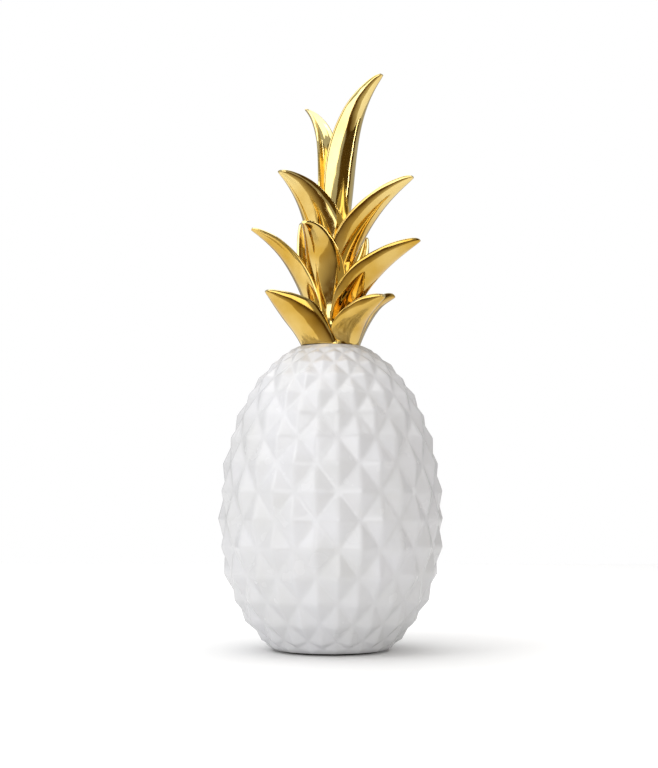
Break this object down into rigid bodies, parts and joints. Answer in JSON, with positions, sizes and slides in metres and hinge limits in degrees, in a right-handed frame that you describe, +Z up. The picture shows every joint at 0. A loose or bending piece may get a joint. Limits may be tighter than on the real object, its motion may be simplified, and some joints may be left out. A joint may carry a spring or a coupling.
{
  "type": "pineapple ornament",
  "caption": "Pineapple-shaped ornament: an egg-shaped ceramic body carved in four-sided points, under a crown of pointed gilt leaves.",
  "frame": {"origin": "middle of the round foot, on the surface that the ornament stands on", "axes": "+Z up through the body's axis, -Y towards the pictured front, +X to the viewer's right"},
  "size_m": [0.1252, 0.1252, 0.3171],
  "materials": {
    "glaze": "thick glossy white glaze",
    "gilding": "bright polished gold plating over the glaze"
  },
  "bodies": {
    "root": {"body": "glaze", "crown": "gilding"}
  },
  "joints": []
}
